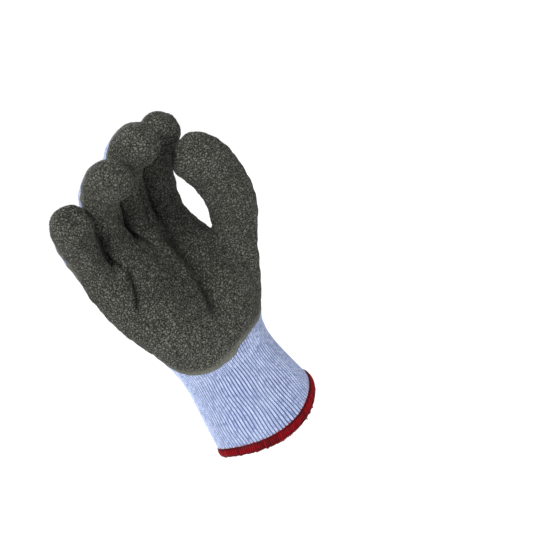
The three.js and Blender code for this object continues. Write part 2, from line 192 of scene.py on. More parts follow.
def mainRing(row):
    width = girths[row["size"]][0] * row["width"]
    depth = girths[row["size"]][1] * row["depth"]
    onCuff = row["part"] == "cuff"
    length = form["cuffLength"] if onCuff else form["palmLength"]
    height = row["height"] * length + (0 if onCuff else form["cuffLength"])
    knuckles = 0 if onCuff else float(smoothstep(row["height"], form["knuckleStart"], 1))
    dip = (1 - row["height"]) * form["hemDip"] if onCuff else 0
    tilt = (1 - row["height"]) * form["hemTilt"] / 2 if onCuff else 0
    ring = []
    for column in range(columns):
        angle = -90 + 360 / columns * column
        even = math.sin(math.radians(angle))
        side = column % (columns // 2) == 0
        step = column - 1 if angle < 90 else columns - 1 - column
        share = even if side else lerp(even, rootShare(step), knuckles)
        bulge = 0 if side else (1 - abs(share) ** row["square"]) ** (1 / row["square"])
        web = not side and step % 2 == 0 and 0 < step < 2 * len(fingers)
        pinch = lerp(1, form["webPinch"], knuckles ** 4) if web else 1
        slope = max(0, (form["slopeStart"] - share) / (1 + form["slopeStart"])) ** form["slopeCurve"]
        facing = math.copysign(1, math.cos(math.radians(angle)))
        position = (
            row["x"] * form["palmWidth"] + width / 2 * share,
            row["y"] * form["palmDepth"] - depth / 2 * bulge * pinch * facing,
            height - knuckles * form["knuckleSlope"] * slope + dip * (even ** 2 - 0.5) + tilt * even,
        )
        turned = angle - 360 if angle > 180 else angle
        rise = float(np.interp(turned, [a for a, _ in coatRims], [r for _, r in coatRims]))
        around = arcDepth(angle, coatReach["little"], coatReach["thumb"], width / 2)
        rim = form["cuffLength"] + form["palmLength"] * rise
        ring.append(addPoint(position, min(around, height - rim)))
    return ring


# Turns x across the finger, y out of its back and z along one of its bones.
def boneTurn(finger, bone):
    lean = Quaternion((0, 1, 0), math.radians(finger["leans"][bone]))
    twist = Quaternion((0, 0, 1), math.radians(finger["twist"]))
    bend = Quaternion((1, 0, 0), math.radians(finger["bends"][bone]))
    return lean @ twist @ bend


def fingerRing(centre, facing, width, depth, row, extraReach):
    ring = []
    for side in range(fingerSides):
        angle = -90 + 360 / fingerSides * side
        across = width / 2 / ringShrink * math.sin(math.radians(angle))
        out = -depth / 2 / ringShrink * math.cos(math.radians(angle))
        place = facing @ Vector((across, out, 0)) + centre
        ring.append(addPoint(place, arcDepth(angle, row["coat"], row["coat"] + extraReach, width / 2)))
    return ring


def addFinger(finger, root, width, depth, extraReach):
    joint = Vector(np.mean([cagePoints[i][:3] for i in root], axis=0))
    low = root
    for bone, share in enumerate(finger["bones"]):
        turn = boneTurn(finger, bone)
        length = finger["length"] * share
        along = turn @ Vector((0, 0, 1))
        for row in fingerRows:
            if row["bone"] != bone:
                continue
            centre = joint + along * length * row["along"]
            facing = turn.slerp(boneTurn(finger, bone + 1), 0.5) if row["along"] == 1 else turn
            girth = row["thumbGirth"] if finger is thumb else row["girth"]
            high = fingerRing(centre, facing, width * girth, depth * girth, row, extraReach)
            addBand(low, high, "palm" if finger is thumb and low is root else finger["name"])
            low = high
        joint = joint + along * length
    tip = addPoint(joint, width / 2)
    for side in range(0, fingerSides, 2):
        corners = (tip, low[side], low[side + 1], low[(side + 2) % fingerSides])
        cageQuads.append({"corners": corners, "piece": finger["name"]})


def handPiece(row, column):
    if mainRows[row + 1]["part"] == "cuff":
        return "cuff"
    if row < thumbRows[0]:
        return "heel"
    return "palm" if column < columns // 2 else "back"


def buildCage():
    rings = [mainRing(row) for row in mainRows]
    for i, (low, high) in enumerate(zip(rings, rings[1:])):
        for column in range(columns):
            if thumbRows[0] <= i < thumbRows[1] and column in (thumbColumn - 1, thumbColumn):
                continue
            after = (column + 1) % columns
            corners = (low[column], low[after], high[after], high[column])
            cageQuads.append({"corners": corners, "piece": handPiece(i, column)})
    top = rings[-1]
    webs = []
    for step in (2, 4, 6):
        middle = np.mean([cagePoints[top[1 + step]][:3], cagePoints[top[columns - 1 - step]][:3]], axis=0)
        middle[2] -= form["webSag"]
        webs.append(addPoint(middle, form["webCoat"]))
    for i, finger in enumerate(fingers):
        front = [top[1 + 2 * i + k] for k in (0, 1, 2)]
        back = [top[columns - 1 - 2 * i - k] for k in (2, 1, 0)]
        below = top[0] if i == 0 else webs[i - 1]
        above = top[columns // 2] if i == len(fingers) - 1 else webs[i]
        width, depth = form["fingerWidth"] * finger["swell"], form["fingerDepth"] * finger["swell"]
        addFinger(finger, [below, *front, above, *back], width, depth, 0)
    low, high = rings[thumbRows[0]], rings[thumbRows[1]]
    middle = rings[(thumbRows[0] + thumbRows[1]) // 2]
    front, side, back = thumbColumn - 1, thumbColumn, thumbColumn + 1
    root = [high[back], high[side], high[front], middle[front]]
    root += [low[front], low[side], low[back], middle[back]]
    addFinger(thumb, root, form["thumbWidth"], form["thumbDepth"], form["thumbCoat"])


buildCage()
print("cage", len(cagePoints), "points", len(cageQuads), "faces")


# The smooth surface: every cage face becomes a square grid of points, finer each round.
def gridFaces(grids):
    corners = (grids[:, :-1, :-1], grids[:, :-1, 1:], grids[:, 1:, 1:], grids[:, 1:, :-1])
    return np.stack([c.ravel() for c in corners], axis=1)


def gather(index, values, count):
    return np.stack([np.bincount(index, values[:, k], count) for k in range(values.shape[1])], axis=1)


def subdivide(points, grids):
    faces = gridFaces(grids)
    count = len(points)
    middles = points[faces].mean(axis=1)
    sides = np.stack([faces, np.roll(faces, -1, axis=1)], axis=2).reshape(-1, 2)
    sides.sort(axis=1)
    edges, which = np.unique(sides, axis=0, return_inverse=True)
    which = which.reshape(-1)
    uses = np.bincount(which, minlength=len(edges))
    ofFaces = gather(which, np.repeat(middles, 4, axis=0), len(edges))
    ends = points[edges].sum(axis=1)
    inner = (uses == 2)[:, None]
    edgePoints = np.where(inner, (ends + ofFaces) / 4, ends / 2)

    valence = np.maximum(np.bincount(edges.ravel(), minlength=count), 1)[:, None]
    others = gather(edges.ravel(), points[edges[:, ::-1].ravel()], count)
    around = gather(faces.ravel(), np.repeat(middles, 4, axis=0), count)
    moved = points * (valence - 2) / valence + (others + around) / valence ** 2
    rims = edges[uses == 1]
    along = gather(rims.ravel(), points[rims[:, ::-1].ravel()], count)
    onRim = np.unique(rims)
    moved[onRim] = points[onRim] * 3 / 4 + along[onRim] / 8

    fine = np.zeros((len(grids), 2 * grids.shape[1] - 1, 2 * grids.shape[1] - 1), dtype=int)
    cells = (len(grids), grids.shape[1] - 1, grids.shape[1] - 1)
    side = count + len(faces) + which.reshape(*cells, 4)
    fine[:, ::2, ::2] = grids
    fine[:, 1::2, 1::2] = count + np.arange(len(faces)).reshape(cells)
    fine[:, 0:-1:2, 1::2] = side[..., 0]
    fine[:, 1::2, 2::2] = side[..., 1]
    fine[:, 2::2, 1::2] = side[..., 2]
    fine[:, 1::2, 0:-1:2] = side[..., 3]
    return np.concatenate([moved, middles, edgePoints]), fine


def normalsOf(points, faces):
    a, b, c, d = (points[faces[:, k], :3] for k in range(4))
    cross = np.cross(c - a, d - b)
    return unit(gather(faces.ravel(), np.repeat(cross, 4, axis=0), len(points)))


# How far each place is from a stroke of straight pieces on the palm's plane.
def strokeDistance(places, path):
    nearest = np.full(len(places), np.inf)
    for start, end in zip(path, path[1:]):
        start, way = np.array(start), np.array(end) - np.array(start)
        share = np.clip((places - start) @ way / (way @ way), 0, 1)
        nearest = np.minimum(nearest, np.linalg.norm(places - start - share[:, None] * way, axis=1))
    return nearest


def addRelief(points, normals):
    facing = smoothstep(-normals[:, 1], 0, form["reliefFacing"])
    scale = np.array([form["palmWidth"], form["palmLength"]])
    wrist = np.array([0, form["cuffLength"]])
    for stroke in palmRelief:
        path = [np.array(stroke[end]) * scale + wrist for end in ("from", "to")]
        away = strokeDistance(points[:, [0, 2]], path) / (stroke["width"] * form["palmDepth"])
        depth = facing * stroke["depth"] * form["palmDepth"] * np.exp(-away ** 2)
        points[:, :3] -= normals * depth[:, None]


# Finer folds of the latex on the palm in mm, pressed in above 0 and raised below 0, with how much shade is
# painted into each fold, 0 to 1.
palmFolds = table(
    "name width depth dark path",
    ("little and ring fingers' crevice", 1.5, 3.4, 1,
     [(-43, -14, 176), (-43, -8, 169), (-42, -9, 160), (-39, -13, 152)]),
    ("little finger's fold", 2.6, 3, 0.9,
     [(-37, -14, 148), (-38, -14, 141), (-41, -15, 132), (-48, -17, 124)]),
    ("ring and middle fingers' crevice", 1.5, 3.4, 1,
     [(-27, -22, 182), (-24, -18, 176), (-18, -8, 167), (-15, -15, 158), (-12, -16, 153)]),
    ("middle and index fingers' crevice", 1.5, 3.2, 1,
     [(-2, -28, 194), (-2, -22, 187), (-3, -18, 177), (-6, -16, 165)]),
    ("thumb's valley", 7, 3.2, 0.7, [(5, -14, 148), (4, -18, 132), (3, -21, 117), (-5, -28, 97)]),
    ("ridge beside the valley", 4.2, -2.2, 0,
     [(-8, -17, 152), (-3, -17, 133), (-5, -21, 115), (-10, -28, 98)]),
    ("ring finger's pillow", 4.5, -2.4, 0, [(-36, -16, 170), (-33, -16, 161)]),
    ("middle finger's pillow", 4.5, -2.2, 0, [(-15, -15, 180), (-13, -15, 170)]),
    ("index finger's ridge", 3.6, -2, 0, [(11, -10, 167), (12, -12, 151)]),
    ("crumple below the ring finger", 2, 1.1, 0, [(-37, -16, 163), (-33, -16, 156), (-28, -18, 154)]),
)
foldFlatness = 0.35  # how much a place's depth counts in its distance from a fold
foldFacing = (-0.2, 0.4)  # how far a place has to face the palm's side before it folds
# Patches of painted shade on the latex, in the palm's hollow and near the fingers' roots, as places and
# reaches in mm.
paintedShadePatches = [
    {"name": "middle of the palm", "middle": (-4, -17, 132), "reach": (34, 40, 38), "dark": 0.52},
    {"name": "below the index finger", "middle": (6, -14, 150), "reach": (20, 22, 22), "dark": 0.55},
    {"name": "insides of the fingers", "middle": (-18, -6, 176), "reach": (34, 16, 20), "dark": 0.55},
]


# Presses the folds in and returns how much shade is painted on the latex in its folds and hollows, 0 to 1.
def addFolds(points, normals):
    facing = smoothstep(-normals[:, 1], *foldFacing)
    shadeMask = np.zeros(len(points))
    start = points[:, :3].copy()
    flatter = np.array([1, foldFlatness, 1])
    for fold in palmFolds:
        away = strokeDistance(start * flatter, fold["path"] * flatter) / fold["width"]
        share = facing * np.exp(-away ** 2)
        points[:, :3] -= normals * (share * fold["depth"])[:, None]
        shadeMask = np.maximum(shadeMask, share * fold["dark"])
    for dark in paintedShadePatches:
        away = np.linalg.norm((start - dark["middle"]) / dark["reach"], axis=1)
        shadeMask = np.maximum(shadeMask, dark["dark"] * np.exp(-away ** 2))
    return shadeMask


rounds = 4
patch = 2 ** rounds  # steps along each side of a cage face
subdivisionLoss = 0.3  # each round draws the tight tubes in a little, and this puts it back
surfacePoints = np.array(cagePoints, dtype=float)
grids = np.array([quad["corners"] for quad in cageQuads])[:, [0, 1, 3, 2]].reshape(-1, 2, 2)
surfacePoints, grids = subdivide(surfacePoints, grids)
addRelief(surfacePoints, normalsOf(surfacePoints, gridFaces(grids)))
for _ in range(rounds - 1):
    surfacePoints, grids = subdivide(surfacePoints, grids)
surfaceNormals = normalsOf(surfacePoints, gridFaces(grids))
surfacePoints[:, :3] += surfaceNormals * subdivisionLoss
# A worn glove is never even: low lumps about a finger's width across, none on the cuff.
lumps = {
    "height": 0.17,
    "start": 50,
    "full": 90,
    "waves": [
        (0.49, 0.3, 0.1, 1.0), (0.12, -0.37, 0.41, 0.4), (0.31, 0.5, -0.22, 2.2), (-0.23, 0.2, 0.67, 3.1),
    ],
}
lumpShare = smoothstep(surfacePoints[:, 2], lumps["start"], lumps["full"]) * lumps["height"]
lumpSum = sum(np.sin(surfacePoints[:, :3] @ wave[:3] + wave[3]) for wave in lumps["waves"])
surfacePoints[:, :3] += surfaceNormals * (lumpSum * lumpShare)[:, None]
surfaceShadeMask = addFolds(surfacePoints, surfaceNormals)
surfaceNormals = normalsOf(surfacePoints, gridFaces(grids))
# Its columns: place 0 to 2, normal 3 to 5, depth under the latex 6 and painted shade 7.
surface = np.concatenate(
    [surfacePoints[:, :3], surfaceNormals, surfacePoints[:, 3:], surfaceShadeMask[:, None]], axis=1
)
pieceQuads = {}
for number, quad in enumerate(cageQuads):
    pieceQuads.setdefault(quad["piece"], []).append(number)
print("surface", len(surface), "points")


# The surface's columns at shares across and along one cage face.
def probe(quad, across, along):
    across, along = np.clip(across, 0, 1) * patch, np.clip(along, 0, 1) * patch
    i, j = np.minimum(along.astype(int), patch - 1), np.minimum(across.astype(int), patch - 1)
    v, u = (along - i)[..., None], (across - j)[..., None]
    grid = grids[quad]
    low = surface[grid[i, j]] * (1 - u) + surface[grid[i, j + 1]] * u
    high = surface[grid[i + 1, j]] * (1 - u) + surface[grid[i + 1, j + 1]] * u
    return low * (1 - v) + high * v


# Cage edges that lie opposite each other across faces share one count of steps.
def edgeClasses():
    parent = {}

    def root(key):
        parent.setdefault(key, key)
        while parent[key] != key:
            parent[key] = parent[parent[key]]
            key = parent[key]
        return key

    sideKeys = []
    for quad in cageQuads:
        c = quad["corners"]
        keys = [tuple(sorted((c[k], c[(k + 1) % 4]))) for k in range(4)]
        sideKeys.append(keys)
        parent[root(keys[0])] = root(keys[2])
        parent[root(keys[1])] = root(keys[3])
    lengths = {}
    for number, keys in enumerate(sideKeys):
        rim = surface[grids[number], :3]
        measured = (rim[0], rim[:, -1], rim[-1], rim[:, 0])
        for key, line in zip(keys, measured):
            length = np.linalg.norm(np.diff(line, axis=0), axis=1).sum()
            lengths.setdefault(root(key), []).append(length)
    mean = {key: float(np.mean(found)) for key, found in lengths.items()}
    return [(mean[root(keys[0])], mean[root(keys[1])]) for keys in sideKeys]


spans = edgeClasses()  # mean length of each face across and along, the same all round a band


# Samples faces with even steps and joins the points that they share.
def sampled(quads, spacing):
    found, faces, start = [], [], 0
    for quad in quads:
        across, along = (max(2, round(span / spacing)) for span in spans[quad])
        v, u = np.meshgrid(np.linspace(0, 1, along + 1), np.linspace(0, 1, across + 1), indexing="ij")
        found.append(probe(quad, u, v).reshape(-1, surface.shape[1]))
        index = np.arange(found[-1].shape[0]).reshape(along + 1, across + 1) + start
        faces.append(gridFaces(index[None]))
        start += found[-1].shape[0]
    values, faces = np.concatenate(found), np.concatenate(faces)
    _, first, inverse = np.unique(np.round(values[:, :3], 3), axis=0, return_index=True, return_inverse=True)
    return values[first], inverse.reshape(-1)[faces]


def rimEdges(faces):
    sides = np.concatenate([np.stack([faces[:, k], faces[:, (k + 1) % 4]], axis=1) for k in range(4)])
    keys = np.sort(sides, axis=1)
    _, inverse, uses = np.unique(keys, axis=0, return_inverse=True, return_counts=True)
    return sides[uses[inverse.reshape(-1)] == 1]


def makeObject(name, points, faces, material, attributes=None):
    mesh = bpy.data.meshes.new(name)
    mesh.from_pydata((np.asarray(points) * metre).tolist(), [], [list(map(int, face)) for face in faces])
    for label, values in (attributes or {}).items():
        kind = "FLOAT_VECTOR" if np.ndim(values) == 2 else "FLOAT"
        layer = mesh.attributes.new(label, kind, "POINT")
        layer.data.foreach_set("vector" if kind == "FLOAT_VECTOR" else "value", np.ravel(values))
    mesh.polygons.foreach_set("use_smooth", [True] * len(mesh.polygons))
    if material:
        mesh.materials.append(material)
    piece = bpy.data.objects.new(name, mesh)
    bpy.context.scene.collection.objects.link(piece)
    return piece


# Helpers for nodes, and the shader groups that the materials share.
def newGroup(name, inputs, outputs):
    group = bpy.data.node_groups.new(name, "ShaderNodeTree")
    for label, (kind, default) in inputs.items():
        socket = group.interface.new_socket(name=label, in_out="INPUT", socket_type=kind)
        socket.default_value = default
    for label, kind in outputs.items():
        group.interface.new_socket(name=label, in_out="OUTPUT", socket_type=kind)
    return group, group.nodes.new("NodeGroupInput"), group.nodes.new("NodeGroupOutput")


def fillSocket(tree, socket, value):
    if isinstance(value, bpy.types.NodeSocket):
        tree.links.new(value, socket)
    else:
        socket.default_value = value


# An input is given by its name, or by its number as i0, i1 and so on.
def addNode(tree, kind, settings=None, **inputs):
    node = tree.nodes.new(kind)
    for key, value in (settings or {}).items():
        setattr(node, key, value)
    for key, value in inputs.items():
        socket = node.inputs[int(key[1:])] if key[0] == "i" and key[1:].isdigit() else node.inputs[key]
        fillSocket(tree, socket, value)
    return node


def maths(tree, operation, *values, clamp=False):
    node = tree.nodes.new("ShaderNodeMath")
    node.operation = operation
    node.use_clamp = clamp
    for socket, value in zip(node.inputs, values):
        fillSocket(tree, socket, value)
    return node.outputs[0]


def vectorMaths(tree, operation, **inputs):
    return addNode(tree, "ShaderNodeVectorMath", {"operation": operation}, **inputs).outputs[0]


def mixColours(tree, factor, first, second):
    node = tree.nodes.new("ShaderNodeMix")
    node.data_type = "RGBA"
    for socket, value in ((node.inputs[0], factor), (node.inputs[6], first), (node.inputs[7], second)):
        fillSocket(tree, socket, value)
    return node.outputs[2]


# Thin dark creases between small pebbles: 0 in a crease and 1 on a pebble. The scale counts
# cells in a metre, and the relief is in mm.
crinkle = {
    "scale": 525.0,
    "warp": 1.4,
    "warpScale": 1.1,
    "sharpness": 4.3,
    "unevenness": 0.85,
    "relief": 0.35,
    "level": 0.7,
}


def creaseHeight(tree, position, scale):
    warp = addNode(tree, "ShaderNodeTexNoise", Vector=position, Detail=0.0,
                   Scale=maths(tree, "MULTIPLY", scale, crinkle["warpScale"]))
    centred = vectorMaths(tree, "SUBTRACT", i0=warp.outputs["Color"], i1=(0.5, 0.5, 0.5))
    push = vectorMaths(tree, "SCALE", i0=centred, Scale=maths(tree, "DIVIDE", crinkle["warp"], scale))
    place = vectorMaths(tree, "ADD", i0=position, i1=push)
    cells = addNode(tree, "ShaderNodeTexVoronoi", {"feature": "DISTANCE_TO_EDGE"},
                    Vector=place, Scale=scale, Randomness=crinkle["unevenness"])
    return maths(tree, "MULTIPLY", cells.outputs["Distance"], crinkle["sharpness"], clamp=True)


crinkleGroup, crinkleIn, crinkleOut = newGroup(
    "latex crinkle",
    {"Position": ("NodeSocketVector", (0, 0, 0)), "Scale": ("NodeSocketFloat", crinkle["scale"])},
    {"Height": "NodeSocketFloat"},
)
crinkleGroup.links.new(
    creaseHeight(crinkleGroup, crinkleIn.outputs["Position"], crinkleIn.outputs["Scale"]),
    crinkleOut.inputs["Height"],
)

fuzzGroup, fuzzIn, fuzzOut = newGroup(
    "yarn fuzz",
    {"Colour": ("NodeSocketColor", (1, 1, 1, 1)), "Shade": ("NodeSocketColor", (0.5, 0.5, 0.5, 1)),
     "Tone": ("NodeSocketFloat", 0.5), "Scale": ("NodeSocketFloat", 1400)},
    {"Colour": "NodeSocketColor", "Height": "NodeSocketFloat"},
)
fuzzPlace = addNode(fuzzGroup, "ShaderNodeTexCoord").outputs["Object"]
fuzzFine = addNode(fuzzGroup, "ShaderNodeTexNoise", Vector=fuzzPlace, Detail=2.0,
                   Scale=fuzzIn.outputs["Scale"])
fuzzWave = maths(fuzzGroup, "SUBTRACT", fuzzFine.outputs[0], 0.5)
fuzzSum = maths(fuzzGroup, "ADD", fuzzIn.outputs["Tone"], fuzzWave, clamp=True)
fuzzColour = mixColours(fuzzGroup, fuzzSum, fuzzIn.outputs["Shade"], fuzzIn.outputs["Colour"])
fuzzGroup.links.new(fuzzColour, fuzzOut.inputs["Colour"])
fuzzGroup.links.new(fuzzFine.outputs[0], fuzzOut.inputs["Height"])


# Colours are linear, and bumps are in metres.
knitLook = {
    "yarn": (0.54, 0.61, 0.83, 1),
    "yarnShade": (0.20, 0.26, 0.46, 1),
    # Painted shade: the liner under the stitches is the yarn's blue darkened with painted shade for the gaps
    # between stitches.
    "shadedGround": (0.09, 0.13, 0.29, 1),
    "groundShade": (0.07, 0.10, 0.22, 1),
    "roughness": 0.85,
    "sheen": 0.15,
    # Painted shade: how much darker a stitch's ends are painted, where they go under the next one.
    "dip": 0.9,
}
latexLook = {
    "light": (0.176, 0.178, 0.156, 1),
    "lightWarm": (0.114, 0.116, 0.093, 1),
    # Painted shade: this colour is shade painted into the latex's folds and the palm's hollow.
    "deep": (0.016, 0.016, 0.012, 1),
    # Painted shade: this near-black is shade painted into the crinkle's creases.
    "crease": (0.003, 0.003, 0.002, 1),
    "roughness": 0.6,
    "specular": 0.12,
    "fineScale": 900.0,
    "fineShare": 0.2,
    "mottleScale": 60.0,
    "bump": 0.0008,
}
hemLook = {
    "thread": (0.29, 0.0, 0.006, 1),
    "threadShade": (0.045, 0.0, 0.001, 1),
    "roughness": 0.6,
}
yarnFinish = {
    "specular": 0.1,
    "bump": 0.0002,
    "bumpStrength": 0.4,
}


def newMaterial(name, roughness, sheen=0.0, specular=0.5):
    material = bpy.data.materials.new(name)
    material.use_nodes = True
    tree = material.node_tree
    shader = tree.nodes["Principled BSDF"]
    shader.inputs["Roughness"].default_value = roughness
    shader.inputs["Sheen Weight"].default_value = sheen
    shader.inputs["Specular IOR Level"].default_value = specular
    return material, tree, shader


def attribute(tree, name):
    return addNode(tree, "ShaderNodeAttribute", {"attribute_name": name}).outputs["Fac"]


# A yarn is painted darker by dip where a stitch's ends go under the next one: painted shade.
def yarnMaterial(name, colour, shade, roughness, sheen, dip):
    material, tree, shader = newMaterial(name, roughness, sheen, yarnFinish["specular"])
    tone = attribute(tree, "tone")
    if dip:
        fromMiddle = maths(tree, "ABSOLUTE", maths(tree, "MULTIPLY_ADD", attribute(tree, "leg"), 2.0, -1.0))
        endShade = maths(tree, "MULTIPLY", maths(tree, "POWER", fromMiddle, 2.0), dip)
        tone = maths(tree, "SUBTRACT", tone, endShade)
    fuzz = addNode(tree, "ShaderNodeGroup", {"node_tree": fuzzGroup}, Colour=colour, Shade=shade, Tone=tone)
    bump = addNode(tree, "ShaderNodeBump", Height=fuzz.outputs["Height"],
                   Distance=yarnFinish["bump"], Strength=yarnFinish["bumpStrength"])
    tree.links.new(fuzz.outputs["Colour"], shader.inputs["Base Color"])
    tree.links.new(bump.outputs["Normal"], shader.inputs["Normal"])
    return material


def latexMaterial():
    material, tree, shader = newMaterial("crinkled latex", latexLook["roughness"],
                                         specular=latexLook["specular"])
    place = addNode(tree, "ShaderNodeTexCoord").outputs["Object"]
    creases = addNode(tree, "ShaderNodeGroup", {"node_tree": crinkleGroup}, Position=place)
    fineCreases = addNode(tree, "ShaderNodeGroup", {"node_tree": crinkleGroup}, Position=place,
                          Scale=latexLook["fineScale"])
    fine = maths(tree, "MULTIPLY", fineCreases.outputs["Height"], latexLook["fineShare"])
    depth = attribute(tree, "crinkle")
    pits = maths(tree, "MULTIPLY", creases.outputs["Height"],
                 maths(tree, "ADD", fine, 1.0 - latexLook["fineShare"]))
    smooth = maths(tree, "SUBTRACT", 1.0, depth)
    shown = maths(tree, "ADD", maths(tree, "MULTIPLY", pits, depth), smooth, clamp=True)
    mottle = addNode(tree, "ShaderNodeTexNoise", Vector=place, Scale=latexLook["mottleScale"],
                     Detail=3.0).outputs[0]
    dry = mixColours(tree, mottle, latexLook["light"], latexLook["lightWarm"])
    # Painted shade: the latex darkens in its folds and hollows by the painted shade mask.
    high = mixColours(tree, attribute(tree, "shadeMask"), dry, latexLook["deep"])
    # Painted shade: the crinkle's creases are coloured near-black, by the same height that bumps them.
    tree.links.new(mixColours(tree, shown, latexLook["crease"], high), shader.inputs["Base Color"])
    bump = addNode(tree, "ShaderNodeBump", Height=shown, Distance=latexLook["bump"], Strength=1.0)
    tree.links.new(bump.outputs["Normal"], shader.inputs["Normal"])
    return material


yarn = yarnMaterial("knitting yarn", knitLook["yarn"], knitLook["yarnShade"],
                    knitLook["roughness"], knitLook["sheen"], knitLook["dip"])
shadedGround = yarnMaterial("liner ground", knitLook["shadedGround"], knitLook["groundShade"],
                      knitLook["roughness"], knitLook["sheen"], 0)
hemThread = yarnMaterial("hem thread", hemLook["thread"], hemLook["threadShade"], hemLook["roughness"], 0, 0)
latex = latexMaterial()
print("materials made")


# Geometry Nodes helpers. A tree input's kind follows from its value, and None is a material.
socketKinds = {float: "NodeSocketFloat", int: "NodeSocketInt", type(None): "NodeSocketMaterial"}


def newTree(name, inputs):
    tree = bpy.data.node_groups.new(name, "GeometryNodeTree")
    tree.interface.new_socket(name="Geometry", in_out="INPUT", socket_type="NodeSocketGeometry")
    for label, value in inputs.items():
        socket = tree.interface.new_socket(name=label, in_out="INPUT", socket_type=socketKinds[type(value)])
        if value is not None:
            socket.default_value = value
    tree.interface.new_socket(name="Geometry", in_out="OUTPUT", socket_type="NodeSocketGeometry")
    return tree, tree.nodes.new("NodeGroupInput"), tree.nodes.new("NodeGroupOutput")


def applyTree(piece, tree, values):
    modifier = piece.modifiers.new(tree.name, "NODES")
    modifier.node_group = tree
    for item in tree.interface.items_tree:
        if item.in_out == "INPUT" and item.name in values:
            modifier[item.identifier] = values[item.name]
    evaluated = piece.evaluated_get(bpy.context.evaluated_depsgraph_get())
    mesh = bpy.data.meshes.new_from_object(evaluated)
    piece.modifiers.clear()
    mesh.name = piece.name
    piece.data = mesh


def namedVector(tree, name):
    node = addNode(tree, "GeometryNodeInputNamedAttribute", {"data_type": "FLOAT_VECTOR"}, Name=name)
    return node.outputs["Attribute"]


def vector(tree, x, y, z):
    node = tree.nodes.new("ShaderNodeCombineXYZ")
    for socket, value in zip(node.inputs, (x, y, z)):
        fillSocket(tree, socket, value)
    return node.outputs[0]


def tube(tree, curve, sides, radius):
    section = addNode(tree, "GeometryNodeCurvePrimitiveCircle", Resolution=sides, Radius=radius)
    return addNode(tree, "GeometryNodeCurveToMesh", i0=curve, i1=section.outputs[0]).outputs[0]


def paint(tree, groupIn, groupOut, geometry):
    painted = addNode(tree, "GeometryNodeSetMaterial", Geometry=geometry,
                      Material=groupIn.outputs["Material"])
    tree.links.new(painted.outputs[0], groupOut.inputs[0])


# Places one small mesh on every point, set by the point's out, along and size vectors.
def placeOnPoints(tree, groupIn, groupOut, shape):
    turn = addNode(tree, "FunctionNodeAxesToRotation", {"primary_axis": "Z", "secondary_axis": "Y"},
                   i0=namedVector(tree, "out"), i1=namedVector(tree, "along"))
    placed = addNode(tree, "GeometryNodeInstanceOnPoints", Points=groupIn.outputs["Geometry"],
                     Instance=shape, Rotation=turn.outputs[0], Scale=namedVector(tree, "size"))
    real = addNode(tree, "GeometryNodeRealizeInstances", Geometry=placed.outputs[0])
    smooth = addNode(tree, "GeometryNodeSetShadeSmooth", Geometry=real.outputs[0])
    paint(tree, groupIn, groupOut, smooth.outputs[0])


# The liner: a double wall for each knitted piece, with its stitches on the outside, in the yarn's blue
# darkened with painted shade to show between them.
liner = {
    "wall": 1.3,
    "groundDepth": 0.35,
    "spacing": 1.5,
    # Painted shade: the outer face, under the stitches, is toned halfway to the darker ground colour.
    "outerShadeTone": 0.5,
    "innerTone": 1.0,
}
knit = {
    "walesPerColumn": 5,
    "coursePitch": 1.75,
    "underLatex": 1.0,
    "depth": 1.0,
    "bow": 1.05,
    "sway": 0.3,
    "swayWaves": [(0.21, 0.13, 0), (0.11, -0.17, 2)],
    "insideTop": 32,
    "tone": 0.79,
    "toneSpread": 0.22,
    "toneLimit": 1.2,
    "seed": 4,
}


# One stitch: two yarn legs that lean apart and bow outwards.
def stitchTree():
    tree, groupIn, groupOut = newTree("knit stitch", {
        "Yarn Radius": 0.19,
        "Foot Spread": 0.05,
        "Head Spread": 0.31,
        "Reach": 0.62,
        "Rise": 0.75,
        "Sides": 5,
        "Steps": 3,
        "Material": None,
    })
    given = groupIn.outputs
    legs = tree.nodes.new("GeometryNodeJoinGeometry")
    low = maths(tree, "MULTIPLY", given["Reach"], -1.0)
    for hand in (-1.0, 1.0):
        foot = maths(tree, "MULTIPLY", given["Foot Spread"], hand)
        head = maths(tree, "MULTIPLY", given["Head Spread"], hand)
        bow = maths(tree, "MULTIPLY", given["Head Spread"], hand * knit["bow"])
        path = addNode(tree, "GeometryNodeCurveQuadraticBezier", Resolution=given["Steps"],
                       Start=vector(tree, foot, low, 0.0), Middle=vector(tree, bow, 0.0, given["Rise"]),
                       End=vector(tree, head, given["Reach"], 0.0))
        along = tree.nodes.new("GeometryNodeSplineParameter").outputs["Factor"]
        marked = addNode(tree, "GeometryNodeStoreNamedAttribute", Geometry=path.outputs[0],
                         Name="leg", Value=along)
        tree.links.new(tube(tree, marked.outputs[0], given["Sides"], given["Yarn Radius"]), legs.inputs[0])
    placeOnPoints(tree, groupIn, groupOut, legs.outputs[0])
    return tree


